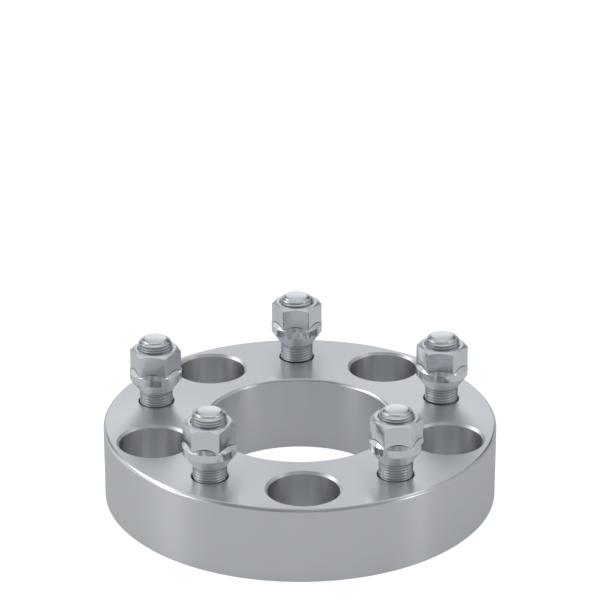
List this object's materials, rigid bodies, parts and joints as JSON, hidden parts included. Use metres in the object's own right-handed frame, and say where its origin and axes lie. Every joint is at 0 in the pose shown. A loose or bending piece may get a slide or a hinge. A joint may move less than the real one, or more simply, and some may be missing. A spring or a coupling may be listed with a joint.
{
  "type": "wheel spacer",
  "caption": "Thick bolt-on wheel spacer: a turned aluminium ring with pressed-in wheel studs, open lug nuts on them, and pockets between them for the hub nuts.",
  "frame": {"origin": "centre of the bore at the hub face, the flat back that bolts against the hub", "axes": "+Z along the wheel axis, from the hub towards the wheel; one wheel stud lies on +Y"},
  "size_m": [0.164, 0.164, 0.0617],
  "materials": {
    "ring": "fine turned satin",
    "studs": "bright zinc plated",
    "nuts": "bright plated, semi-gloss"
  },
  "bodies": {
    "spacer": {"spacer_body": "ring", "wheel_stud_1": "studs", "wheel_stud_2": "studs", "wheel_stud_3": "studs", "wheel_stud_4": "studs", "wheel_stud_5": "studs"},
    "nut_1": {"lug_nut_1": "nuts"},
    "nut_2": {"lug_nut_2": "nuts"},
    "nut_3": {"lug_nut_3": "nuts"},
    "nut_4": {"lug_nut_4": "nuts"},
    "nut_5": {"lug_nut_5": "nuts"}
  },
  "joints": [
    {"name": "nut_1_thread", "type": "slide", "parent": "spacer", "child": "nut_1", "axis": [0, 0, 1], "range_m": [-0.00625, 0.0225]},
    {"name": "nut_2_thread", "type": "slide", "parent": "spacer", "child": "nut_2", "axis": [0, 0, 1], "range_m": [-0.005, 0.02375]},
    {"name": "nut_3_thread", "type": "slide", "parent": "spacer", "child": "nut_3", "axis": [0, 0, 1], "range_m": [-0.005, 0.02375]},
    {"name": "nut_4_thread", "type": "slide", "parent": "spacer", "child": "nut_4", "axis": [0, 0, 1], "range_m": [-0.00625, 0.0225]},
    {"name": "nut_5_thread", "type": "slide", "parent": "spacer", "child": "nut_5", "axis": [0, 0, 1], "range_m": [-0.00625, 0.02375]}
  ]
}
